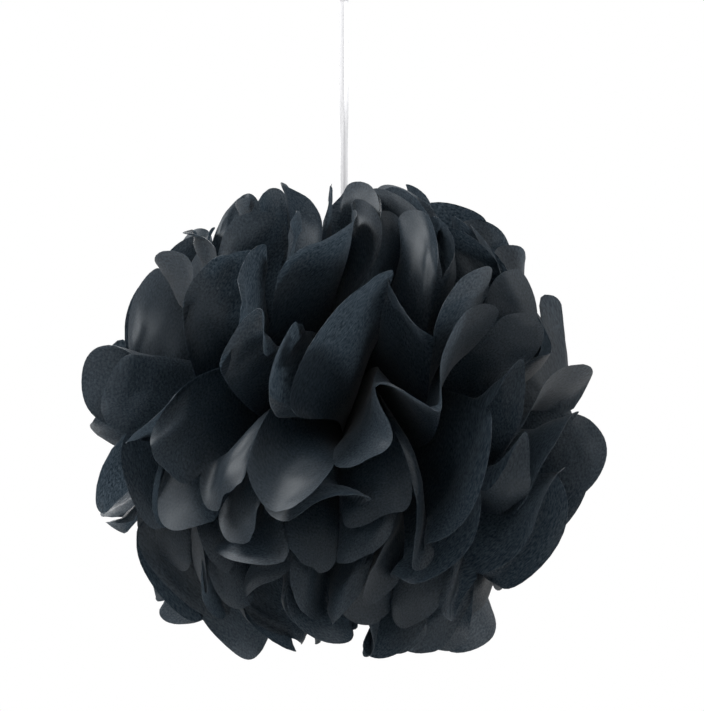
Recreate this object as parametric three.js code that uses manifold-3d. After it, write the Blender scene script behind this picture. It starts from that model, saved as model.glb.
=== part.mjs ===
// Tissue paper pom pom: a stack of tissue sheets, pleated together like a fan, cut to round ends,
// cinched at the middle by a wire, opened into two half-round fans and fluffed sheet by sheet into a ball.
// It hangs on a flat ribbon that is tied to the eye of the wire and ends in a loop.
// Millimetres, +Z up, front at -Y. The origin is the inside of the hanging loop, where a hook would bear.
import * as THREE from "three";
import { mergeVertices } from "three/addons/utils/BufferGeometryUtils.js";
import Module from "manifold-3d";

const wasm = await Module();
wasm.setup();
const { degToRad, lerp, smoothstep } = THREE.MathUtils;

// Tissue sheets
const SHEET_COUNT = 8;
const PLEAT_COUNT = 12; // panels in one sheet
const PLEAT_WIDTH = 63.5; // fold to fold
const SHEET_WIDTH = 404; // tip to tip, across the tie
const PAPER_THICKNESS = 0.9; // stands in for real tissue, which is far thinner
const LAYER_GAP = 0.7; // between neighbouring sheets where the wire gathers them
const LOBE_HEIGHT = 30; // of the round cut at the end of each panel
const LOBE_UNEVENNESS = 0.15; // hand-cut ends, as a share of their height

// Gathered neck and binding wire
const NECK_WIDTH = 14; // the pleats squeezed together
const NECK_LENGTH = 2.4; // the slit between the two fans, where the wire lies
const WIRE_DIAMETER = 1;
const WIRE_CLEARANCE = 0.3;
const WIRE_SIDES = 6;
const TWIST_LENGTH = 10; // the wire's ends, twisted together above the neck
const TWIST_TURNS = 1.5;
const EYE_RADIUS = 4; // of the ring bent from one end of the wire
const EYE_OPENING = degToRad(40); // left between the ring's end and its start

// Ribbon
const RIBBON_WIDTH = 7;
const RIBBON_THICKNESS = 0.8;
const LOOP_HEIGHT = 42; // inside of the hanging loop
const LOOP_WIDTH = 20;
const KNOT_SIZE = 9;
const TIE_DIAMETER = 2; // the ribbon squeezed to a cord where it passes through the eye
const DROP_TO_CENTRE = 378; // hanging point to the middle of the ball
const HALF_TWIST_DROP = 160; // hanging point to the half twist in the ribbon
const HALF_TWIST_LENGTH = 60;

// Shape of one sheet before it is fluffed
const LEAN_AT_NECK = 0.62; // share of its final elevation that a sheet has next to the tie
const OPENING_START = 0.25; // share of the reach where the fluffing begins
const PLEAT_START = 0.7; // share of the reach where the pleats have their full height
const FLATTEST_PLEAT = 0.35; // height of a fully opened pleat, as a share of its width
const FOLD_LIFT = degToRad(5); // uneven elevation of single folds
const FOLD_SHIFT = degToRad(4); // uneven spacing of the folds, shared by all sheets

// Fluffing: the sheets sway round the upright axis, one above the other, so that the slit isn't straight.
const SWAY = degToRad(4);
const SWAY_WAVES = 3;

// Each pull moves the paper round one direction of the ball and turns it about that direction.
// Directions are azimuth from the front towards +X and elevation, in degrees.
const SMALL_PULLS = 56;
const SMALL_PULL = { reach: 14, move: 11, turn: 55 };
const PULLS = [
  { azimuth: 15, elevation: 60, reach: 16, right: 0, up: 9, turn: 0 }, // tongue in front of the ribbon
  { azimuth: -75, elevation: 14, reach: 17, right: 0, up: 0, turn: 50 }, // round lobe at the left
];

const neckHalf = NECK_LENGTH / 2;
const petalReach = SHEET_WIDTH / 2 - neckHalf;
const notchRadius = petalReach - LOBE_HEIGHT;
const sheetPitch = PAPER_THICKNESS + LAYER_GAP;
const stackHalf = (sheetPitch * (SHEET_COUNT - 1) + PAPER_THICKNESS) / 2;
const foldAngle = Math.PI / PLEAT_COUNT;
const up = new THREE.Vector3(0, 0, 1);

// A repeatable number from -1 to 1 for each set of whole numbers.
const MIX = [12.9898, 78.233, 37.719, 4.581];
const MIX_SCALE = 43758.5453;
function jitter(...keys) {
  const mixed = keys.reduce((sum, key, i) => sum + (key + 1) * MIX[i], 0);
  const wave = Math.sin(mixed) * MIX_SCALE;
  return 2 * (wave - Math.floor(wave)) - 1;
}

function direction(azimuth, elevation) {
  const level = Math.cos(elevation);
  return new THREE.Vector3(Math.sin(azimuth) * level, -Math.cos(azimuth) * level, Math.sin(elevation));
}

// Small pulls spread evenly over the ball, each of its own strength, then the large ones.
const goldenAngle = Math.PI * (3 - Math.sqrt(5));
const smallPulls = Array.from({ length: SMALL_PULLS }, (_, k) => ({
  azimuth: THREE.MathUtils.radToDeg(k * goldenAngle),
  elevation: THREE.MathUtils.radToDeg(Math.asin(1 - (2 * k + 1) / SMALL_PULLS)),
  reach: SMALL_PULL.reach,
  right: SMALL_PULL.move * jitter(k, 0),
  up: SMALL_PULL.move * jitter(k, 1),
  turn: SMALL_PULL.turn * jitter(k, 2),
}));

const pulls = [...smallPulls, ...PULLS].map((pull) => {
  const azimuth = degToRad(pull.azimuth);
  const elevation = degToRad(pull.elevation);
  const centre = direction(azimuth, elevation);
  const east = new THREE.Vector3(Math.cos(azimuth), Math.sin(azimuth), 0);
  const north = direction(azimuth, elevation + Math.PI / 2);
  const move = east.multiplyScalar(degToRad(pull.right)).addScaledVector(north, degToRad(pull.up));
  return {
    centre,
    reach: degToRad(pull.reach),
    axis: new THREE.Vector3().crossVectors(centre, move).normalize(),
    angle: move.length(),
    turn: degToRad(pull.turn),
  };
});

// Moves a point of the ball as the fluffing does: not at all near the tie, fully at the tips.
function fluff(point) {
  const radius = point.length();
  const elevation = Math.asin(point.z / radius);
  const swayed = smoothstep(radius, NECK_WIDTH, PLEAT_START * petalReach);
  point.applyAxisAngle(up, SWAY * swayed * Math.sin(SWAY_WAVES * elevation));
  const opened = smoothstep(radius, OPENING_START * petalReach, petalReach);
  if (opened === 0) return point;
  for (const { centre, reach, axis, angle, turn } of pulls) {
    const away = point.angleTo(centre);
    const strength = opened * Math.exp(-0.5 * (away / reach) ** 2);
    point.applyAxisAngle(axis, angle * strength);
    point.applyAxisAngle(centre, turn * strength);
  }
  return point;
}

// Elevation of a sheet's tips, so that all sheets share the ball's surface evenly.
function tipElevation(sheet) {
  return Math.asin((2 * sheet + 1 - SHEET_COUNT) / SHEET_COUNT);
}

// Value at fold position u of a list that holds one value for each fold.
function between(list, u) {
  const j = Math.min(Math.floor(u), list.length - 2);
  return lerp(list[j], list[j + 1], u - j);
}

// How far each fold of one fan of one sheet has been lifted and shifted sideways.
function unevenFolds(sheet, fan) {
  const folds = Array.from({ length: PLEAT_COUNT + 1 }, (_, j) => j);
  const inside = (j) => (j > 0 && j < PLEAT_COUNT ? 1 : 0);
  return {
    lift: folds.map((j) => FOLD_LIFT * jitter(sheet, fan, j, 1)),
    shift: folds.map((j) => inside(j) * FOLD_SHIFT * jitter(SHEET_COUNT, fan, j, 2)),
  };
}

// A point of a sheet's middle surface and the direction across its thickness, before fluffing.
function paperPoint(sheet, fan, folds, u, radius) {
  const opened = smoothstep(radius, OPENING_START * petalReach, petalReach);
  const azimuth = foldAngle * (u - PLEAT_COUNT / 2) + between(folds.shift, u) * opened;
  const lean = tipElevation(sheet) * lerp(LEAN_AT_NECK, 1, opened);
  const chord = 2 * radius * Math.cos(lean) * Math.sin(foldAngle / 2);
  const height = Math.sqrt(Math.max(PLEAT_WIDTH ** 2 - chord ** 2, (FLATTEST_PLEAT * PLEAT_WIDTH) ** 2));
  const gathered = smoothstep(radius, 0, PLEAT_START * petalReach);
  const wave = 0.5 - Math.abs((u % 2) - 1);
  const pleat = radius > 0 ? (gathered * height * wave) / radius : 0;
  const elevation = radius > 0 ? lean + pleat + between(folds.lift, u) * opened : 0;

  const point = direction(azimuth, elevation).multiplyScalar(radius);
  const across = direction(azimuth, elevation + Math.PI / 2);
  point.x += NECK_WIDTH * (u / PLEAT_COUNT - 0.5);
  point.y -= neckHalf;
  point.applyAxisAngle(up, fan * Math.PI);
  across.applyAxisAngle(up, fan * Math.PI);
  point.z += sheetPitch * (sheet - (SHEET_COUNT - 1) / 2);
  return { point, across };
}

// Triangles between two rows of points that run the same way, each row a list of { id, at }.
const EVEN = 1e-9;
function bridge(inner, outer) {
  const triangles = [];
  let i = 0;
  let o = 0;
  while (i < inner.length - 1 || o < outer.length - 1) {
    const outerDone = o === outer.length - 1;
    const ahead = inner[i].at < PLEAT_COUNT / 2 ? -EVEN : EVEN; // the two halves are cut as mirror images
    const stepInner = outerDone || (i < inner.length - 1 && inner[i + 1].at < outer[o + 1].at + ahead);
    const next = stepInner ? inner[i + 1] : outer[o + 1];
    triangles.push([inner[i].id, outer[o].id, next.id]);
    if (stepInner) i++;
    else o++;
  }
  return triangles.filter(([a, b, c]) => a !== b && b !== c && a !== c);
}

// A closed, fluffed solid from a surface's points, the direction across it at each, and its triangles.
function thicken(samples, triangles, thickness) {
  const count = samples.length;
  const positions = [];
  for (const side of [0.5, -0.5]) {
    for (const { point, across } of samples) {
      positions.push(...fluff(point.clone().addScaledVector(across, side * thickness)).toArray());
    }
  }
  const index = [];
  const edges = new Map();
  for (const [a, b, c] of triangles) {
    index.push(a, b, c, c + count, b + count, a + count);
    for (const [from, to] of [[a, b], [b, c], [c, a]]) {
      if (edges.has(`${to},${from}`)) edges.delete(`${to},${from}`);
      else edges.set(`${from},${to}`, [from, to]);
    }
  }
  for (const [from, to] of edges.values()) {
    index.push(to, from, from + count, to, from + count, to + count);
  }
  const geometry = new THREE.BufferGeometry();
  geometry.setAttribute("position", new THREE.Float32BufferAttribute(positions, 3));
  geometry.setIndex(index);
  return geometry;
}

// One sheet: two fans of pleated petals with round ends, joined by the neck.
const ROWS = [
  { reach: 0, steps: 1 },
  { reach: 0.35, steps: 1 },
  { reach: 0.6, steps: 2 },
];
const RIM_STEPS = 6;
const NOTCH_STEPS = 4;
function sheetGeometry(sheet) {
  const samples = [];
  const triangles = [];
  const add = (sample, at) => ({ id: samples.push(sample) - 1, at });
  const necks = [];
  for (const fan of [0, 1]) {
    const folds = unevenFolds(sheet, fan);
    const row = (radius, steps) =>
      Array.from({ length: PLEAT_COUNT * steps + 1 }, (_, i) =>
        add(paperPoint(sheet, fan, folds, i / steps, radius), i / steps));
    const rows = ROWS.map(({ reach, steps }) => row(reach * petalReach, steps));
    const notches = row(notchRadius, NOTCH_STEPS);
    rows.push(notches);
    necks.push(rows[0]);
    for (let r = 0; r < rows.length - 1; r++) triangles.push(...bridge(rows[r], rows[r + 1]));
    for (let panel = 0; panel < PLEAT_COUNT; panel++) {
      const base = notches.slice(panel * NOTCH_STEPS, (panel + 1) * NOTCH_STEPS + 1);
      const lobe = LOBE_HEIGHT * (1 + LOBE_UNEVENNESS * jitter(sheet, fan, panel, 0));
      const rim = Array.from({ length: RIM_STEPS - 1 }, (_, i) => {
        const turn = (Math.PI * (i + 1)) / RIM_STEPS;
        const u = panel + 0.5 - 0.5 * Math.cos(turn);
        return add(paperPoint(sheet, fan, folds, u, notchRadius + lobe * Math.sin(turn)), u);
      });
      triangles.push(...bridge(base, [base[0], ...rim, base.at(-1)]));
    }
  }
  // The neck joins the two fans, whose folds run opposite ways because one fan is the other turned round.
  const [front, back] = necks;
  const turned = back.map(({ id, at }) => ({ id, at: PLEAT_COUNT - at })).reverse();
  triangles.push(...bridge(turned, front));
  return thicken(samples, triangles, PAPER_THICKNESS);
}

// A curve through given points, straight from each to the next.
class BentLine extends THREE.Curve {
  constructor(points) {
    super();
    this.points = points;
  }
  getUtoTmapping(u) {
    return u;
  }
  getPoint(t) {
    const at = t * (this.points.length - 1);
    const k = Math.min(Math.floor(at), this.points.length - 2);
    return this.points[k].clone().lerp(this.points[k + 1], at - k);
  }
}

function roundBar(points, diameter, sides) {
  const corners = Array.from({ length: sides }, (_, i) => {
    const turn = (2 * Math.PI * i) / sides;
    return new THREE.Vector2(Math.cos(turn), Math.sin(turn)).multiplyScalar(diameter / 2);
  });
  const steps = points.length - 1;
  return new THREE.ExtrudeGeometry(new THREE.Shape(corners), { steps, extrudePath: new BentLine(points) });
}

function arc(centreX, centreZ, radius, from, to, steps) {
  return Array.from({ length: steps + 1 }, (_, i) => {
    const turn = lerp(from, to, i / steps);
    return new THREE.Vector3(centreX + radius * Math.cos(turn), 0, centreZ + radius * Math.sin(turn));
  });
}

// Binding wire: once round the neck, its ends twisted together above it, one of them bent into an eye.
const wireOffset = WIRE_CLEARANCE + WIRE_DIAMETER / 2;
const strandRadius = (WIRE_DIAMETER + WIRE_CLEARANCE) / 2;
const twistBase = stackHalf + wireOffset + WIRE_DIAMETER;
const twistTop = twistBase + TWIST_LENGTH;
const eyeHeight = twistTop + WIRE_DIAMETER + EYE_RADIUS;
const BEND_STEPS = 2;
const STEPS_PER_TURN = 8;
const EYE_STEPS = 11;
function wireGeometry() {
  const strand = (start) => {
    const steps = Math.ceil(STEPS_PER_TURN * TWIST_TURNS);
    return Array.from({ length: steps + 1 }, (_, i) => {
      const turn = start + (2 * Math.PI * TWIST_TURNS * i) / steps;
      const height = lerp(twistBase, twistTop, i / steps);
      return new THREE.Vector3(strandRadius * Math.cos(turn), strandRadius * Math.sin(turn), height);
    });
  };
  const quarter = Math.PI / 2;
  const half = NECK_WIDTH / 2;
  const topBar = stackHalf + wireOffset;
  const eyeStart = -quarter;
  const points = [
    ...strand(Math.PI).reverse(),
    new THREE.Vector3(-strandRadius - WIRE_DIAMETER, 0, topBar),
    ...arc(-half, stackHalf, wireOffset, quarter, 2 * quarter, BEND_STEPS),
    ...arc(-half, -stackHalf, wireOffset, 2 * quarter, 3 * quarter, BEND_STEPS),
    ...arc(half, -stackHalf, wireOffset, 3 * quarter, 4 * quarter, BEND_STEPS),
    ...arc(half, stackHalf, wireOffset, 0, quarter, BEND_STEPS),
    new THREE.Vector3(strandRadius + WIRE_DIAMETER, 0, topBar),
    ...strand(0),
    ...arc(0, eyeHeight, EYE_RADIUS, eyeStart, eyeStart + 2 * Math.PI - EYE_OPENING, EYE_STEPS),
  ];
  return roundBar(points, WIRE_DIAMETER, WIRE_SIDES);
}

// One closed solid from overlapping ones.
function joined(geometries) {
  const solids = geometries.map((geometry) => {
    const bare = new THREE.BufferGeometry();
    bare.setAttribute("position", geometry.getAttribute("position"));
    bare.setIndex(geometry.getIndex());
    const { attributes, index } = mergeVertices(bare, 1e-4);
    const vertProperties = new Float32Array(attributes.position.array);
    const triVerts = new Uint32Array(index.array);
    return new wasm.Manifold(new wasm.Mesh({ numProp: 3, vertProperties, triVerts }));
  });
  const mesh = wasm.Manifold.union(solids).getMesh();
  const geometry = new THREE.BufferGeometry();
  geometry.setAttribute("position", new THREE.BufferAttribute(mesh.vertProperties, 3));
  geometry.setIndex(new THREE.BufferAttribute(mesh.triVerts, 1));
  return geometry;
}

// Ribbon, in the frame of the hanging point: loop, knot, flat length with one half twist, knot, and a tie
// through the eye of the wire.
const eyeDrop = eyeHeight - DROP_TO_CENTRE;
const tieBottom = eyeDrop + EYE_RADIUS - wireOffset - TIE_DIAMETER / 2;
const tieHalf = wireOffset + TIE_DIAMETER / 2;
const upperKnot = -LOOP_HEIGHT - KNOT_SIZE / 2;
const lowerKnot = eyeDrop + EYE_RADIUS + wireOffset + TIE_DIAMETER + KNOT_SIZE / 2;
const LOOP_STEPS = 12;
const TIE_STEPS = 4;
const TIE_SIDES = 6;
const STRIP_STEPS = 26;
const KNOT_STEPS = 8;

// Outline of the hanging loop: a round top whose sides run straight together below.
function teardrop(radius, top, tip) {
  const centre = top - radius;
  const flank = Math.asin(radius / (centre - tip));
  return [new THREE.Vector2(0, tip), ...arc(0, centre, radius, -flank, Math.PI + flank, LOOP_STEPS)
    .map(({ x, z }) => new THREE.Vector2(x, z))];
}

function loopGeometry() {
  const inner = teardrop(LOOP_WIDTH / 2, 0, -LOOP_HEIGHT);
  const flank = Math.asin(LOOP_WIDTH / 2 / (LOOP_HEIGHT - LOOP_WIDTH / 2));
  const tip = -LOOP_HEIGHT - RIBBON_THICKNESS / Math.sin(flank);
  const band = new THREE.Shape(teardrop(LOOP_WIDTH / 2 + RIBBON_THICKNESS, RIBBON_THICKNESS, tip));
  band.holes.push(new THREE.Path(inner));
  const geometry = new THREE.ExtrudeGeometry(band, { depth: RIBBON_WIDTH, bevelEnabled: false });
  geometry.translate(0, 0, -RIBBON_WIDTH / 2);
  geometry.rotateX(Math.PI / 2);
  return geometry;
}

function knotGeometry(height) {
  const geometry = new THREE.SphereGeometry(KNOT_SIZE / 2, KNOT_STEPS, KNOT_STEPS / 2 + 1);
  geometry.rotateX(Math.PI / 2);
  geometry.translate(0, 0, height);
  return geometry;
}

function stripGeometry() {
  const corner = new THREE.Vector2(RIBBON_WIDTH, RIBBON_THICKNESS).multiplyScalar(0.5);
  const section = new THREE.Shape([
    new THREE.Vector2(-corner.x, -corner.y),
    new THREE.Vector2(corner.x, -corner.y),
    new THREE.Vector2(corner.x, corner.y),
    new THREE.Vector2(-corner.x, corner.y),
  ]);
  const depth = upperKnot - lowerKnot;
  const geometry = new THREE.ExtrudeGeometry(section, { depth, steps: STRIP_STEPS, bevelEnabled: false });
  geometry.translate(0, 0, lowerKnot);
  const position = geometry.getAttribute("position");
  const twistFrom = -HALF_TWIST_DROP - HALF_TWIST_LENGTH / 2;
  for (let i = 0; i < position.count; i++) {
    const point = new THREE.Vector3().fromBufferAttribute(position, i);
    const turn = Math.PI * smoothstep(point.z, twistFrom, twistFrom + HALF_TWIST_LENGTH);
    point.applyAxisAngle(up, turn);
    position.setXYZ(i, point.x, point.y, point.z);
  }
  return geometry;
}

function tieGeometry() {
  const under = arc(0, tieBottom + tieHalf, tieHalf, Math.PI, 2 * Math.PI, TIE_STEPS)
    .map(({ x, z }) => new THREE.Vector3(0, x, z));
  const ends = [-1, 1].map((side) => new THREE.Vector3(0, (side * TIE_DIAMETER) / 2, lowerKnot));
  return roundBar([ends[0], ...under, ends[1]], TIE_DIAMETER, TIE_SIDES);
}

const pomPom = new THREE.Group();
const ball = new THREE.Group();
ball.position.z = -DROP_TO_CENTRE;
pomPom.add(ball);

for (let sheet = 0; sheet < SHEET_COUNT; sheet++) {
  const tissue = new THREE.MeshStandardMaterial({ color: 0x23262b, roughness: 0.75, metalness: 0 });
  const mesh = new THREE.Mesh(sheetGeometry(sheet), tissue);
  mesh.name = `tissue_sheet_${sheet + 1}`;
  ball.add(mesh);
}

const steel = new THREE.MeshStandardMaterial({ color: 0x8d8f92, roughness: 0.4, metalness: 1 });
const wire = new THREE.Mesh(wireGeometry(), steel);
wire.name = "binding_wire";
ball.add(wire);

const satin = new THREE.MeshStandardMaterial({ color: 0xf3f3f4, roughness: 0.45, metalness: 0 });
const ribbon = new THREE.Mesh(
  joined([
    loopGeometry(),
    knotGeometry(upperKnot),
    stripGeometry(),
    knotGeometry(lowerKnot),
    tieGeometry(),
  ]),
  satin,
);
ribbon.name = "hanging_ribbon";
pomPom.add(ribbon);

export default pomPom;
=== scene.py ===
import math

import bpy
import numpy as np
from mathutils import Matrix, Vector


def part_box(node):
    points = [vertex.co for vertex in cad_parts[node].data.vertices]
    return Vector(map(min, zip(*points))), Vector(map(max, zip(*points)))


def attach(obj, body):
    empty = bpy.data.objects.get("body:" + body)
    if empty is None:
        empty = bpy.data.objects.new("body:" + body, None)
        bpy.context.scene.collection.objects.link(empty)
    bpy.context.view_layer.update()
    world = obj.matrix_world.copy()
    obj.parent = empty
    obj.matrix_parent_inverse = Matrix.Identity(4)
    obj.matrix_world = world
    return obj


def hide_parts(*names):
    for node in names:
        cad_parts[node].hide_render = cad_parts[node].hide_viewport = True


# Tissue paper pom pom on a satin ribbon, metres, +Z up, front at -Y, hung from the origin
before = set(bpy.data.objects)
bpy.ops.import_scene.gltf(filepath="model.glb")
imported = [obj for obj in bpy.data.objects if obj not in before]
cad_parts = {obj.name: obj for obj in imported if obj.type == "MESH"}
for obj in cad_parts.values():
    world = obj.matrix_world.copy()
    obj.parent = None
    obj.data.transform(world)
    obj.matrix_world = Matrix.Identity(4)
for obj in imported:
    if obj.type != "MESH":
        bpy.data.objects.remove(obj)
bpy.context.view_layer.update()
print("frame loaded:", len(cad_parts), "nodes")


# Camera and light

photo = {"width": 704, "height": 711, "ballX": 344, "ballY": 419, "metresPerPixel": 0.000774}
camera = {"distance": 1.6, "elevation": -2, "sensor": 36}
ballCentre = Vector((0, 0, -0.378))


def aim(thing, target):
    thing.rotation_mode = "QUATERNION"
    thing.rotation_quaternion = (target - thing.location).to_track_quat("-Z", "Y")


def placeCamera():
    tilt = math.radians(camera["elevation"])
    back = Vector((0, -math.cos(tilt), math.sin(tilt)))
    bpy.ops.object.camera_add(location=ballCentre + camera["distance"] * back)
    eye = bpy.context.object
    aim(eye, ballCentre)
    longSide = max(photo["width"], photo["height"])
    eye.data.sensor_width = camera["sensor"]
    eye.data.lens = camera["sensor"] * camera["distance"] / (longSide * photo["metresPerPixel"])
    eye.data.shift_x = (photo["width"] / 2 - photo["ballX"]) / longSide
    eye.data.shift_y = (photo["ballY"] - photo["height"] / 2) / longSide
    bpy.context.scene.camera = eye


studio = {"floorDrop": 0.75, "floorSize": 4.0, "surround": 1.0}
lamps = [
    {"name": "keyLamp", "place": (-1.25, -0.45, 1.15), "size": 0.7, "power": 68},
    {"name": "sideLamp", "place": (1.35, -0.4, 0.7), "size": 1.0, "power": 15},
    {"name": "backLamp", "place": (-0.3, 1.4, 0.8), "size": 1.2, "power": 20},
]


def lightStudio():
    world = bpy.data.worlds.new("whiteSurround")
    world.use_nodes = True
    surround = world.node_tree.nodes["Background"]
    surround.inputs["Color"].default_value = (1, 1, 1, 1)
    surround.inputs["Strength"].default_value = studio["surround"]
    bpy.context.scene.world = world
    bpy.context.scene.view_settings.view_transform = "Standard"
    for lamp in lamps:
        bpy.ops.object.light_add(type="AREA", location=ballCentre + Vector(lamp["place"]))
        light = bpy.context.object
        light.name = lamp["name"]
        light.data.size = lamp["size"]
        light.data.energy = lamp["power"]
        aim(light, ballCentre)
    bpy.ops.object.select_all(action="DESELECT")
    floorHeight = ballCentre.z - studio["floorDrop"]
    bpy.ops.mesh.primitive_plane_add(size=studio["floorSize"], location=(0, 0, floorHeight))
    floor = bpy.context.object
    floor.name = "floor"
    paint = bpy.data.materials.new("paleFloor")
    paint.use_nodes = True
    finish = paint.node_tree.nodes["Principled BSDF"]
    finish.inputs["Base Color"].default_value = (0.74, 0.74, 0.74, 1)
    finish.inputs["Roughness"].default_value = 0.8
    floor.data.materials.append(paint)


placeCamera()
lightStudio()
print("camera and light placed")


# Helpers

nearlyNought = {"length": 1e-12, "radius": 1e-9, "grid": 1e-6}


def smoothstep(x, low, high):
    t = np.clip((x - low) / (high - low), 0, 1)
    return t * t * (3 - 2 * t)


def direction(azimuth, elevation):  # azimuth from the front towards +X
    level = np.cos(elevation)
    return np.stack([np.sin(azimuth) * level, -np.cos(azimuth) * level, np.sin(elevation)], -1)


def turned(points, axis, angle):  # each point by its own angle
    cosine = np.cos(angle)[:, None]
    sine = np.sin(angle)[:, None]
    along = (points @ axis)[:, None] * axis
    return points * cosine + np.cross(axis, points) * sine + along * (1 - cosine)


def unit(vectors):
    lengths = np.linalg.norm(vectors, axis=-1, keepdims=True)
    return vectors / np.maximum(lengths, nearlyNought["length"])


def applied(piece, kind, **settings):
    modifier = piece.modifiers.new(kind.title(), kind)
    for name, value in settings.items():
        setattr(modifier, name, value)
    bpy.context.view_layer.objects.active = piece
    bpy.ops.object.modifier_apply(modifier=modifier.name)


def setPoints(piece, points):
    piece.data.vertices.foreach_set("co", points.astype(np.float32).ravel())
    piece.data.update()


def getPoints(piece):
    flat = np.zeros(len(piece.data.vertices) * 3, np.float32)
    piece.data.vertices.foreach_get("co", flat)
    return flat.reshape(-1, 3).astype(float)


def setUv(piece, name, perPoint):
    layer = piece.data.uv_layers[0]
    layer.name = name
    corners = np.zeros(len(piece.data.loops), np.int32)
    piece.data.loops.foreach_get("vertex_index", corners)
    layer.data.foreach_set("uv", perPoint[corners].astype(np.float32).ravel())


# Fluffing: each pull moves the paper round one direction of the ball and turns it there

paper = {
    "sheets": 8,
    "pleats": 12,
    "pleatWidth": 0.0635,
    "sheetWidth": 0.404,
    "solidThickness": 0.0009,
    "layerGap": 0.0007,
    "lobeHeight": 0.030,
    "lobeUnevenness": 0.15,
    "neckWidth": 0.014,
    "neckLength": 0.0024,
    "leanAtNeck": 0.62,
    "poleShare": 0.95,
    "openingStart": 0.25,
    "pleatStart": 0.7,
    "pleatFull": 0.38,
    "flattestPleat": 0.35,
    "foldLift": math.radians(5),
    "foldShift": math.radians(4),
}
fluffing = {
    "seed": 0,
    "sway": math.radians(4),
    "swayWaves": 3,
    "smallPulls": 56,
    "reach": 14,
    "move": 8,
    "turn": 40,
    "leastTurn": 0.5,
    "tipStart": 0.55,
    "tipPulls": 110,
    "tipReach": 10,
    "tipMove": 2,
    "tipTurn": 10,
    "tipOut": 0.03,
    "drawnIn": 0.973,
    "flatness": 0.96,
    "sag": 0.005,
}
largePulls = [
    {"azimuth": 15, "elevation": 60, "reach": 16, "right": 0, "up": 9, "turn": 0},
    {"azimuth": -75, "elevation": 14, "reach": 17, "right": 0, "up": 0, "turn": 50},
    {"azimuth": -5, "elevation": 26, "reach": 20, "right": 0, "up": 6, "turn": 0},
    {"azimuth": 0, "elevation": -20, "reach": 22, "right": 0, "up": -6, "turn": 0},
]
neckHalf = paper["neckLength"] / 2
petalReach = paper["sheetWidth"] / 2 - neckHalf
notchRadius = petalReach - paper["lobeHeight"]
sheetPitch = paper["solidThickness"] + paper["layerGap"]
foldAngle = math.pi / paper["pleats"]
mix = [12.9898, 78.233, 37.719, 4.581]
mixScale = 43758.5453
upright = np.array([0.0, 0.0, 1.0])


def jitter(*keys):  # a repeatable number from -1 to 1 for each set of whole numbers
    mixed = fluffing["seed"] + sum((key + 1) * mix[i] for i, key in enumerate(keys))
    wave = math.sin(mixed) * mixScale
    return 2 * (wave - math.floor(wave)) - 1


# pulls spread evenly over the ball, each of its own strength
def spread(count, first, reach, move, turn, out):
    goldenAngle = math.pi * (3 - math.sqrt(5))
    least = fluffing["leastTurn"]
    found = []
    for k in range(count):
        swing = jitter(first + k, 2)
        found.append({
            "azimuth": math.degrees(k * goldenAngle),
            "elevation": math.degrees(math.asin(1 - (2 * k + 1) / count)),
            "reach": reach,
            "right": move * jitter(first + k, 0),
            "up": move * jitter(first + k, 1),
            "turn": turn * math.copysign(least + (1 - least) * abs(swing), swing),
            "out": out * jitter(first + k, 3),
        })
    return found


def prepared(pull):
    azimuth = math.radians(pull["azimuth"])
    elevation = math.radians(pull["elevation"])
    centre = direction(azimuth, elevation)
    east = np.array([math.cos(azimuth), math.sin(azimuth), 0])
    north = direction(azimuth, elevation + math.pi / 2)
    move = east * math.radians(pull["right"]) + north * math.radians(pull["up"])
    return {
        "centre": centre,
        "reach": math.radians(pull["reach"]),
        "axis": unit(np.cross(centre, move)),
        "angle": np.linalg.norm(move),
        "turn": math.radians(pull["turn"]),
        "out": pull.get("out", 0),
    }


smallPulls = spread(fluffing["smallPulls"], 0, fluffing["reach"], fluffing["move"], fluffing["turn"], 0)
tipPulls = spread(
    fluffing["tipPulls"], fluffing["smallPulls"],
    fluffing["tipReach"], fluffing["tipMove"], fluffing["tipTurn"], fluffing["tipOut"],
)
openPulls = [prepared(pull) for pull in smallPulls + largePulls]
rimPulls = [prepared(pull) for pull in tipPulls]


def pulled(points, pull, share):
    away = np.arccos(np.clip(unit(points) @ pull["centre"], -1, 1))
    strength = share * np.exp(-0.5 * (away / pull["reach"]) ** 2)
    points = turned(points, pull["axis"], pull["angle"] * strength)
    points = turned(points, pull["centre"], pull["turn"] * strength)
    return points * (1 + pull["out"] * strength)[:, None]


def fluff(points):
    radius = np.linalg.norm(points, axis=1)
    elevation = np.arcsin(np.clip(points[:, 2] / radius, -1, 1))
    swayed = smoothstep(radius, paper["neckWidth"], paper["pleatStart"] * petalReach)
    sway = fluffing["sway"] * swayed * np.sin(fluffing["swayWaves"] * elevation)
    points = turned(points, upright, sway)
    opened = smoothstep(radius, paper["openingStart"] * petalReach, petalReach)
    for pull in openPulls:
        points = pulled(points, pull, opened)
    tips = smoothstep(radius, fluffing["tipStart"] * petalReach, petalReach)
    for pull in rimPulls:
        points = pulled(points, pull, tips)
    points = points * (1 - (1 - fluffing["drawnIn"]) * opened)[:, None]
    points[:, 2] = points[:, 2] * (1 - (1 - fluffing["flatness"]) * opened) - fluffing["sag"] * opened
    return points


# Tissue sheets: pleated, cut to round ends, gathered at the neck and opened into two fans

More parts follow.
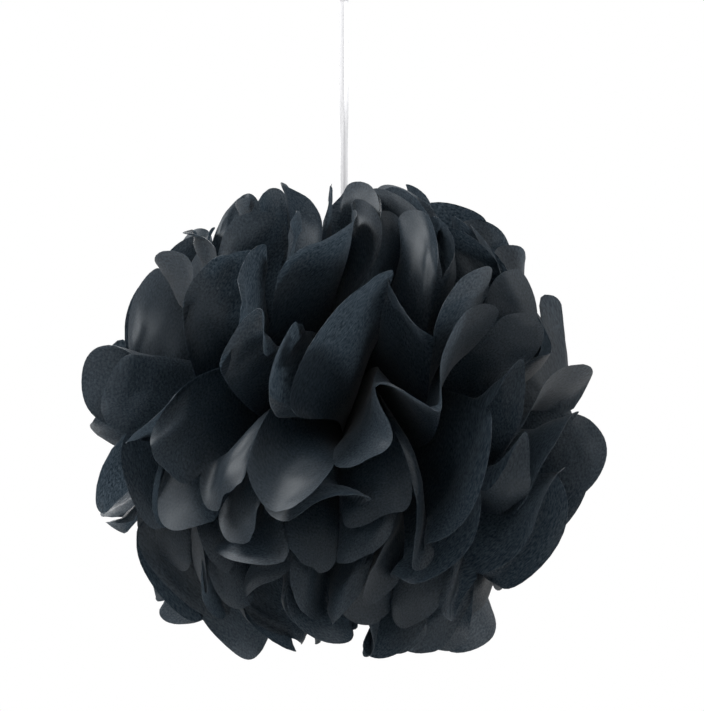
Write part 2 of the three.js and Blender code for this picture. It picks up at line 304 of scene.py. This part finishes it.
sheetMesh = {
    "columnsPerPleat": 22,
    "rows": 46,
    "rowSpacing": 0.75,
    "normalStep": 0.001,
    "normalShare": 0.02,
    "thickness": 0.00025,
    "sharpAngle": math.radians(40),
}
petals = {
    "seed": 7,
    "cup": 0.002,
    "twist": 0.006,
    "creaseShare": 0.7,
    "creaseAngle": math.radians(40),
    "creaseHeading": 0.9,
    "creaseLowest": -0.02,
    "creaseHighest": 0.025,
    "spineShare": 0.45,
    "spineAngle": math.radians(16),
    "spineOffset": 0.4,
    "softness": 0.0004,
    "roundness": 0.85,
    "tipFrom": 0.3,
    "twistFrom": 0.7,
    "sharpnessBelow": 3,
    "sharpnessAbove": 23,
    "sharpenFrom": 0.02,
    "sharpenTo": 0.01,
}
curls = {
    "seed": 5,
    "start": 0.55,
    "least": 0.001,
    "most": math.radians(75),
    "uneven": math.radians(25),
    "waves": 6,
    "wavesPerTurn": 4,
    "waveShare": 0.9,
    "partingHeight": math.radians(8),
    "partingReach": math.radians(65),
    "partingDepth": math.radians(12),
    "partingShare": 1.6,
    "partingHold": 0.7,
    "poleFrom": math.radians(46),
    "poleTo": math.radians(69),
}
ripples = [
    {"length": 0.055, "height": 0.0004, "count": 5},
    {"length": 0.024, "height": 0.00025, "count": 6},
    {"length": 0.011, "height": 0.0001, "count": 8},
]


def tipElevation(sheet):
    share = (2 * sheet + 1 - paper["sheets"]) / paper["sheets"]
    return math.asin(paper["poleShare"] * share)


def unevenFolds(sheet):
    folds = range(paper["pleats"] + 1)
    inside = [1 if 0 < j < paper["pleats"] else 0 for j in folds]
    lift = [[paper["foldLift"] * jitter(sheet, fan, j, 1) for j in folds] for fan in (0, 1)]
    shift = [
        [inside[j] * paper["foldShift"] * jitter(paper["sheets"], fan, j, 2) for j in folds]
        for fan in (0, 1)
    ]
    return np.array(lift), np.array(shift)


def paperPoints(sheet, fan, u, radius):  # points of the open sheet, and the direction across it
    pleats = paper["pleats"]
    lift, shift = unevenFolds(sheet)
    j = np.minimum(np.floor(u).astype(int), pleats - 1)
    f = u - j
    liftHere = lift[fan, j] * (1 - f) + lift[fan, j + 1] * f
    shiftHere = shift[fan, j] * (1 - f) + shift[fan, j + 1] * f
    opened = smoothstep(radius, paper["openingStart"] * petalReach, petalReach)
    azimuth = foldAngle * (u - pleats / 2) + shiftHere * opened
    lean = tipElevation(sheet) * (paper["leanAtNeck"] + (1 - paper["leanAtNeck"]) * opened)
    chord = 2 * radius * np.cos(lean) * math.sin(foldAngle / 2)
    flattest = paper["flattestPleat"] * paper["pleatWidth"]
    height = np.sqrt(np.maximum(paper["pleatWidth"] ** 2 - chord ** 2, flattest ** 2))
    gathered = smoothstep(radius, 0, paper["pleatFull"] * petalReach)
    wave = 0.5 - np.abs(u % 2 - 1)
    away = radius > nearlyNought["radius"]
    pleat = gathered * height * wave / np.where(away, radius, 1)
    elevation = np.where(away, lean + pleat + liftHere * opened, 0)
    points = direction(azimuth, elevation) * radius[:, None]
    across = direction(azimuth, elevation + math.pi / 2)
    points[:, 0] += paper["neckWidth"] * (u / pleats - 0.5)
    points[:, 1] -= neckHalf * away
    side = np.where(fan == 1, -1.0, 1.0)[:, None] * np.array([1.0, 1.0, 0]) + np.array([0, 0, 1.0])
    points = points * side
    across = across * side
    points[:, 2] += sheetPitch * (sheet - (paper["sheets"] - 1) / 2)
    return points, across


def sheetNormal(sheet, fan, u, panel, radius):
    step = sheetMesh["normalStep"]
    share = sheetMesh["normalShare"]
    before = paperPoints(sheet, fan, panel + np.clip(u - panel - share, 0, 1), radius)[0]
    after = paperPoints(sheet, fan, panel + np.clip(u - panel + share, 0, 1), radius)[0]
    inner = paperPoints(sheet, fan, u, np.maximum(radius - step, step / 2))[0]
    outer = paperPoints(sheet, fan, u, radius + step)[0]
    return unit(np.cross(after - before, outer - inner))


def petalCurl(ways):  # neighbours curl alike, and at the front away from the parting
    waves = np.random.default_rng(curls["seed"])
    field = np.zeros(ways.shape[:-1])
    for _ in range(curls["waves"]):
        heading = unit(waves.normal(size=3))
        field += np.sin(curls["wavesPerTurn"] * (ways @ heading) + waves.uniform(0, 2 * math.pi))
    level = np.arcsin(ways[..., 2])
    front = np.exp(-((np.arctan2(ways[..., 0], -ways[..., 1]) / curls["partingReach"]) ** 2))
    parting = np.tanh((level - curls["partingHeight"]) / curls["partingDepth"])
    parting = parting * (1 - smoothstep(np.abs(level), curls["poleFrom"], curls["poleTo"]))
    field = field * curls["waveShare"] * (1 - curls["partingHold"] * front)
    return curls["most"] * np.tanh(field + curls["partingShare"] * front * parting)


def softAbove(x):  # nought below, x above, with a small round at the crease
    return petals["softness"] * np.logaddexp(0, x / petals["softness"])


def rippled(x, y, draws):  # gentle waves of handled paper
    total = np.zeros_like(x)
    for ripple in ripples:
        for _ in range(ripple["count"]):
            heading, phase = draws.uniform(0, 2 * math.pi, 2)
            along = x * math.cos(heading) + y * math.sin(heading)
            total += ripple["height"] * np.sin(2 * math.pi * along / ripple["length"] + phase)
    return total


def foldSheet(sheet, draws):
    pleats = paper["pleats"]
    columns = pleats * sheetMesh["columnsPerPleat"]
    bpy.ops.object.select_all(action="DESELECT")
    bpy.ops.mesh.primitive_grid_add(x_subdivisions=columns, y_subdivisions=2 * sheetMesh["rows"], size=2)
    piece = bpy.context.object
    piece.name = f"fluffedSheet{sheet + 1}"
    flat = getPoints(piece)
    fan = (flat[:, 1] > nearlyNought["grid"]).astype(int)
    place = pleats * (flat[:, 0] + 1) / 2
    place = np.where(fan == 1, pleats - place, place)  # the back fan is the front one turned round
    panel = np.clip(np.floor(place + nearlyNought["grid"]).astype(int), 0, pleats - 1)
    turn = math.pi * np.clip(place - panel, 0, 1)
    u = panel + 0.5 - 0.5 * np.cos(turn)
    w = -np.cos(turn)
    uneven = np.array([[jitter(sheet, side, p, 0) for p in range(pleats)] for side in (0, 1)])
    lobe = paper["lobeHeight"] * (1 + paper["lobeUnevenness"] * uneven[fan, panel])
    rounded = np.maximum(np.sin(turn), 0) ** petals["roundness"]
    rim = notchRadius + lobe * rounded
    radius = np.abs(flat[:, 1]) ** sheetMesh["rowSpacing"] * rim

    # each lobe is curled, cupped, twisted and creased in its own way
    def perLobe(low, high):
        return draws.uniform(low, high, (2, pleats))[fan, panel]

    middles = foldAngle * (np.arange(pleats) + 0.5 - pleats / 2)
    ways = direction(np.stack([middles, middles + math.pi]), np.full((2, pleats), tipElevation(sheet)))
    curl = petalCurl(ways) + draws.uniform(-1, 1, (2, pleats)) * curls["uneven"]
    padded = np.concatenate([curl[:, :1], curl, curl[:, -1:]], 1)
    foldCurl = (padded[:, :-1] + padded[:, 1:]) / 2
    share = u - panel
    edgeCurl = foldCurl[fan, panel] * (1 - share) + foldCurl[fan, panel + 1] * share
    bend = curl[fan, panel] * (1 - w ** 2) + edgeCurl * w ** 2
    start = curls["start"] * petalReach
    length = petalReach - start
    bend = np.where(np.abs(bend) < curls["least"], curls["least"], bend) / length
    past = np.maximum(radius - start, 0)
    curledRadius = np.where(past > 0, start + np.sin(bend * past) / bend, radius)
    offset = np.where(past > 0, (1 - np.cos(bend * past)) / bend, 0)
    points, across = paperPoints(sheet, fan, u, curledRadius)
    normal = sheetNormal(sheet, fan, u, panel, curledRadius)
    points = points + across * offset[:, None]

    tip = smoothstep(radius, petals["tipFrom"] * petalReach, petalReach)
    twisted = smoothstep(radius, petals["twistFrom"] * petalReach, petalReach)
    cutApart = smoothstep(radius, notchRadius - petals["sharpenFrom"], notchRadius + petals["sharpenTo"])
    sharpness = petals["sharpnessBelow"] + (petals["sharpnessAbove"] - petals["sharpnessBelow"]) * cutApart
    free = 1 - np.abs(w) ** sharpness  # nought along the folds, where two lobes share the paper
    rise = perLobe(-1, 1) * petals["cup"] * (1 - w ** 2) * tip
    rise = rise + perLobe(-1, 1) * petals["twist"] * w * twisted * free
    x = w * paper["pleatWidth"] / 2
    y = radius - notchRadius
    heading = perLobe(-petals["creaseHeading"], petals["creaseHeading"])
    crease = perLobe(petals["creaseLowest"], petals["creaseHighest"])
    angle = perLobe(-1, 1) * petals["creaseAngle"]
    angle = np.where(perLobe(0, 1) < petals["creaseShare"], angle, 0)
    beyond = x * np.sin(heading) + y * np.cos(heading) - crease
    rise = rise + np.tan(angle) * softAbove(beyond) * free
    spine = x - perLobe(-petals["spineOffset"], petals["spineOffset"]) * paper["pleatWidth"] / 2
    angle = perLobe(-1, 1) * petals["spineAngle"]
    angle = np.where(perLobe(0, 1) < petals["spineShare"], angle, 0)
    rise = rise + np.tan(angle) * (softAbove(spine) + softAbove(-spine)) * free * tip
    acrossSheet = np.where(fan == 1, pleats - u, u) * paper["pleatWidth"]
    alongSheet = np.where(fan == 1, radius, -radius)
    rise = rise + rippled(acrossSheet, alongSheet, draws) * free * tip
    points = points + normal * rise[:, None]

    points = fluff(points) + np.array(ballCentre)
    setPoints(piece, points)
    setUv(piece, "paper", np.stack([acrossSheet, alongSheet], 1))
    applied(piece, "SOLIDIFY", thickness=sheetMesh["thickness"], offset=0)
    bpy.ops.object.shade_smooth_by_angle(angle=sheetMesh["sharpAngle"])
    return piece


def tissueMaterial():
    material = bpy.data.materials.new("blackTissue")
    material.use_nodes = True
    nodes, links = material.node_tree.nodes, material.node_tree.links
    finish = nodes["Principled BSDF"]
    output = nodes["Material Output"]
    paperMap = nodes.new("ShaderNodeUVMap")
    paperMap.uv_map = "paper"

    clouds = nodes.new("ShaderNodeTexNoise")  # uneven formation of the pulp
    clouds.inputs["Scale"].default_value = 560
    clouds.inputs["Detail"].default_value = 5
    clouds.inputs["Roughness"].default_value = 0.65
    links.new(paperMap.outputs["UV"], clouds.inputs["Vector"])

    stretch = nodes.new("ShaderNodeMapping")
    stretch.inputs["Scale"].default_value = (1.0, 0.3, 1.0)
    links.new(paperMap.outputs["UV"], stretch.inputs["Vector"])
    fibres = nodes.new("ShaderNodeTexNoise")
    fibres.inputs["Scale"].default_value = 2200
    fibres.inputs["Detail"].default_value = 4
    links.new(stretch.outputs["Vector"], fibres.inputs["Vector"])

    tint = nodes.new("ShaderNodeValToRGB")
    tint.color_ramp.elements[0].position = 0.38
    tint.color_ramp.elements[0].color = (0.0022, 0.0062, 0.0105, 1)
    tint.color_ramp.elements[1].position = 0.66
    tint.color_ramp.elements[1].color = (0.0038, 0.0088, 0.0142, 1)
    links.new(clouds.outputs["Fac"], tint.inputs["Fac"])
    links.new(tint.outputs["Color"], finish.inputs["Base Color"])

    gloss = nodes.new("ShaderNodeMapRange")
    gloss.inputs["To Min"].default_value = 0.45
    gloss.inputs["To Max"].default_value = 0.60
    links.new(clouds.outputs["Fac"], gloss.inputs["Value"])
    links.new(gloss.outputs["Result"], finish.inputs["Roughness"])
    finish.inputs["Specular IOR Level"].default_value = 0.30
    finish.inputs["Specular Tint"].default_value = (0.93, 0.97, 1.0, 1)
    finish.inputs["Sheen Weight"].default_value = 0.05
    finish.inputs["Sheen Roughness"].default_value = 0.4

    bump = nodes.new("ShaderNodeBump")
    bump.inputs["Strength"].default_value = 0.12
    bump.inputs["Distance"].default_value = 0.0002
    links.new(fibres.outputs["Fac"], bump.inputs["Height"])
    links.new(bump.outputs["Normal"], finish.inputs["Normal"])

    glow = nodes.new("ShaderNodeValToRGB")  # light through one thin layer
    glow.color_ramp.elements[0].position = 0.36
    glow.color_ramp.elements[0].color = (0.09, 0.125, 0.155, 1)
    glow.color_ramp.elements[1].position = 0.68
    glow.color_ramp.elements[1].color = (0.43, 0.49, 0.54, 1)
    links.new(clouds.outputs["Fac"], glow.inputs["Fac"])
    through = nodes.new("ShaderNodeBsdfTranslucent")
    links.new(glow.outputs["Color"], through.inputs["Color"])
    both = nodes.new("ShaderNodeMixShader")
    both.inputs["Fac"].default_value = 0.40
    links.new(finish.outputs["BSDF"], both.inputs[1])
    links.new(through.outputs["BSDF"], both.inputs[2])
    links.new(both.outputs["Shader"], output.inputs["Surface"])
    return material


def makeSheets():
    tissue = tissueMaterial()
    draws = np.random.default_rng(petals["seed"])
    for sheet in range(paper["sheets"]):
        piece = foldSheet(sheet, draws)
        piece.data.materials.clear()
        piece.data.materials.append(tissue)
        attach(piece, "root")
        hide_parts(f"tissue_sheet_{sheet + 1}")
    print("sheets folded:", paper["sheets"])


makeSheets()


# Satin ribbon: tied through the eye of the wire, a flat length that turns a little, a knot and a loop

ribbon = {
    "width": 0.007,
    "thickness": 0.0003,
    "groove": 0.0007,
    "grooveSharpness": 3,
    "loopHeight": 0.042,
    "loopWidth": 0.020,
    "knotSize": 0.009,
    "tieDiameter": 0.002,
    "wireDiameter": 0.001,
    "clearance": 0.0003,
    "turn": math.radians(36),
    "turnDrop": 0.144,
    "turnLength": 0.060,
    "columns": 8,
    "rows": 220,
    "tangentStep": 0.0001,
    "linePoints": 40,
    "loopPoints": 25,
    "sharpAngle": math.radians(50),
}
knot = {
    "wraps": [(0.5, 0), (-0.5, 0.3), (math.pi / 2, 0.6)],  # how far each turn tilts and leans
    "ringShare": 0.29,
    "strandShare": 0.17,
}
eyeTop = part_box("binding_wire")[1].z
lowerKnot = eyeTop + ribbon["clearance"] + ribbon["tieDiameter"] + ribbon["knotSize"] / 2
upperKnot = -ribbon["loopHeight"] - ribbon["knotSize"] / 2
tieBottom = eyeTop - ribbon["wireDiameter"] - ribbon["clearance"] - ribbon["tieDiameter"] / 2


def ribbonLine():  # up from the tie, once round the hanging loop and back to its knot
    radius = ribbon["loopWidth"] / 2
    flank = math.asin(radius / (ribbon["loopHeight"] - radius))
    turns = np.linspace(-flank, math.pi + flank, ribbon["loopPoints"])
    loop = [(radius * math.cos(turn), 0, radius * math.sin(turn) - radius) for turn in turns]
    corners = np.array([(0, 0, tieBottom), (0, 0, upperKnot), *loop, (0, 0, upperKnot)])
    steps = np.linalg.norm(np.diff(corners, axis=0), axis=1)
    along = np.concatenate([[0], np.cumsum(steps)])
    return corners, along


def makeRibbon():
    corners, along = ribbonLine()
    bpy.ops.object.select_all(action="DESELECT")
    bpy.ops.mesh.primitive_grid_add(x_subdivisions=ribbon["columns"], y_subdivisions=ribbon["rows"], size=2)
    piece = bpy.context.object
    piece.name = "satinRibbon"
    flat = getPoints(piece)
    start = lowerKnot - tieBottom  # the tie itself is a ring of gathered ribbon
    place = start + (flat[:, 1] + 1) / 2 * (along[-1] - start)
    step = ribbon["tangentStep"]

    def onLine(distance):
        return np.stack([np.interp(distance, along, corners[:, k]) for k in range(3)], 1)

    middle = onLine(place)
    tangent = unit(onLine(np.minimum(place + step, along[-1])) - onLine(place - step))
    turnFrom = -ribbon["turnDrop"] - ribbon["turnLength"] / 2
    height = np.where(place < along[1], middle[:, 2], upperKnot)
    turn = ribbon["turn"] * (1 - smoothstep(height, turnFrom, turnFrom + ribbon["turnLength"]))
    turn = turn + math.pi / 2 * smoothstep(height, upperKnot - ribbon["knotSize"] / 2, upperKnot)
    across = np.stack([np.cos(turn), np.sin(turn), np.zeros_like(turn)], 1)
    facing = unit(np.cross(tangent, across))
    # a lengthwise crease down the middle
    fold = ribbon["groove"] * (1 - np.abs(flat[:, 0])) ** ribbon["grooveSharpness"]
    points = middle + across * (flat[:, 0] * ribbon["width"] / 2)[:, None] + facing * fold[:, None]
    setPoints(piece, points)
    applied(piece, "SOLIDIFY", thickness=ribbon["thickness"], offset=0)
    bpy.ops.object.shade_smooth_by_angle(angle=ribbon["sharpAngle"])
    wraps = [tieRing()]
    for height in (lowerKnot, upperKnot):
        wraps.extend(knotWraps(height))
    bpy.ops.object.select_all(action="DESELECT")
    for wrap in wraps:
        wrap.select_set(True)
    piece.select_set(True)
    bpy.context.view_layer.objects.active = piece
    bpy.ops.object.join()
    line = np.concatenate([np.linspace(corners[0], corners[1], ribbon["linePoints"]), corners[2:]])
    return piece, line, along[-1]


def tieRing():  # gathered ribbon round the eye of the wire
    reach = ribbon["clearance"] + (ribbon["wireDiameter"] + ribbon["tieDiameter"]) / 2
    bpy.ops.mesh.primitive_torus_add(
        location=(0, 0, tieBottom + reach),
        rotation=(0, math.pi / 2, 0),
        major_radius=reach,
        minor_radius=ribbon["tieDiameter"] / 2,
        major_segments=24,
        minor_segments=10,
    )
    ring = bpy.context.object
    bpy.ops.object.transform_apply()
    bpy.ops.object.shade_smooth()
    return ring


def knotWraps(height):  # three turns of gathered ribbon, drawn tight over each other
    wraps = []
    for tilt, lean in knot["wraps"]:
        bpy.ops.mesh.primitive_torus_add(
            location=(0, 0, height),
            rotation=(tilt, lean, 0),
            major_radius=ribbon["knotSize"] * knot["ringShare"],
            minor_radius=ribbon["knotSize"] * knot["strandShare"],
            major_segments=28,
            minor_segments=12,
        )
        wrap = bpy.context.object
        bpy.ops.object.transform_apply()
        bpy.ops.object.shade_smooth()
        wraps.append(wrap)
    return wraps


def satinMaterial():
    material = bpy.data.materials.new("whiteSatin")
    material.use_nodes = True
    nodes, links = material.node_tree.nodes, material.node_tree.links
    finish = nodes["Principled BSDF"]
    place = nodes.new("ShaderNodeTexCoord")
    stretch = nodes.new("ShaderNodeMapping")
    stretch.inputs["Scale"].default_value = (1.0, 1.0, 0.06)
    links.new(place.outputs["Object"], stretch.inputs["Vector"])
    threads = nodes.new("ShaderNodeTexNoise")  # long floats of the satin weave
    threads.inputs["Scale"].default_value = 3200
    threads.inputs["Detail"].default_value = 3
    links.new(stretch.outputs["Vector"], threads.inputs["Vector"])
    tint = nodes.new("ShaderNodeValToRGB")
    tint.color_ramp.elements[0].position = 0.3
    tint.color_ramp.elements[0].color = (0.49, 0.49, 0.505, 1)
    tint.color_ramp.elements[1].position = 0.7
    tint.color_ramp.elements[1].color = (0.58, 0.58, 0.59, 1)
    links.new(threads.outputs["Fac"], tint.inputs["Fac"])
    links.new(tint.outputs["Color"], finish.inputs["Base Color"])
    finish.inputs["Roughness"].default_value = 0.42
    finish.inputs["Sheen Weight"].default_value = 0.1
    bump = nodes.new("ShaderNodeBump")
    bump.inputs["Strength"].default_value = 0.3
    bump.inputs["Distance"].default_value = 0.0001
    links.new(threads.outputs["Fac"], bump.inputs["Height"])
    links.new(bump.outputs["Normal"], finish.inputs["Normal"])
    return material


ribbonPiece, ribbonPath, ribbonLength = makeRibbon()
ribbonPiece.data.materials.clear()
ribbonPiece.data.materials.append(satinMaterial())
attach(ribbonPiece, "root")
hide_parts("hanging_ribbon")
print("ribbon tied, length", round(ribbonLength, 3))


# Binding wire keeps its own solid

def wireMaterial():
    material = bpy.data.materials.new("drawnSteel")
    material.use_nodes = True
    nodes, links = material.node_tree.nodes, material.node_tree.links
    finish = nodes["Principled BSDF"]
    place = nodes.new("ShaderNodeTexCoord")
    drawn = nodes.new("ShaderNodeTexNoise")  # die marks and dull spots
    drawn.inputs["Scale"].default_value = 900
    drawn.inputs["Detail"].default_value = 4
    links.new(place.outputs["Object"], drawn.inputs["Vector"])
    tint = nodes.new("ShaderNodeValToRGB")
    tint.color_ramp.elements[0].color = (0.30, 0.30, 0.31, 1)
    tint.color_ramp.elements[1].color = (0.55, 0.55, 0.56, 1)
    links.new(drawn.outputs["Fac"], tint.inputs["Fac"])
    links.new(tint.outputs["Color"], finish.inputs["Base Color"])
    gloss = nodes.new("ShaderNodeMapRange")
    gloss.inputs["To Min"].default_value = 0.28
    gloss.inputs["To Max"].default_value = 0.5
    links.new(drawn.outputs["Fac"], gloss.inputs["Value"])
    links.new(gloss.outputs["Result"], finish.inputs["Roughness"])
    finish.inputs["Metallic"].default_value = 1
    return material


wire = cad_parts["binding_wire"]
wire.data.materials.clear()
wire.data.materials.append(wireMaterial())
print("wire finished")
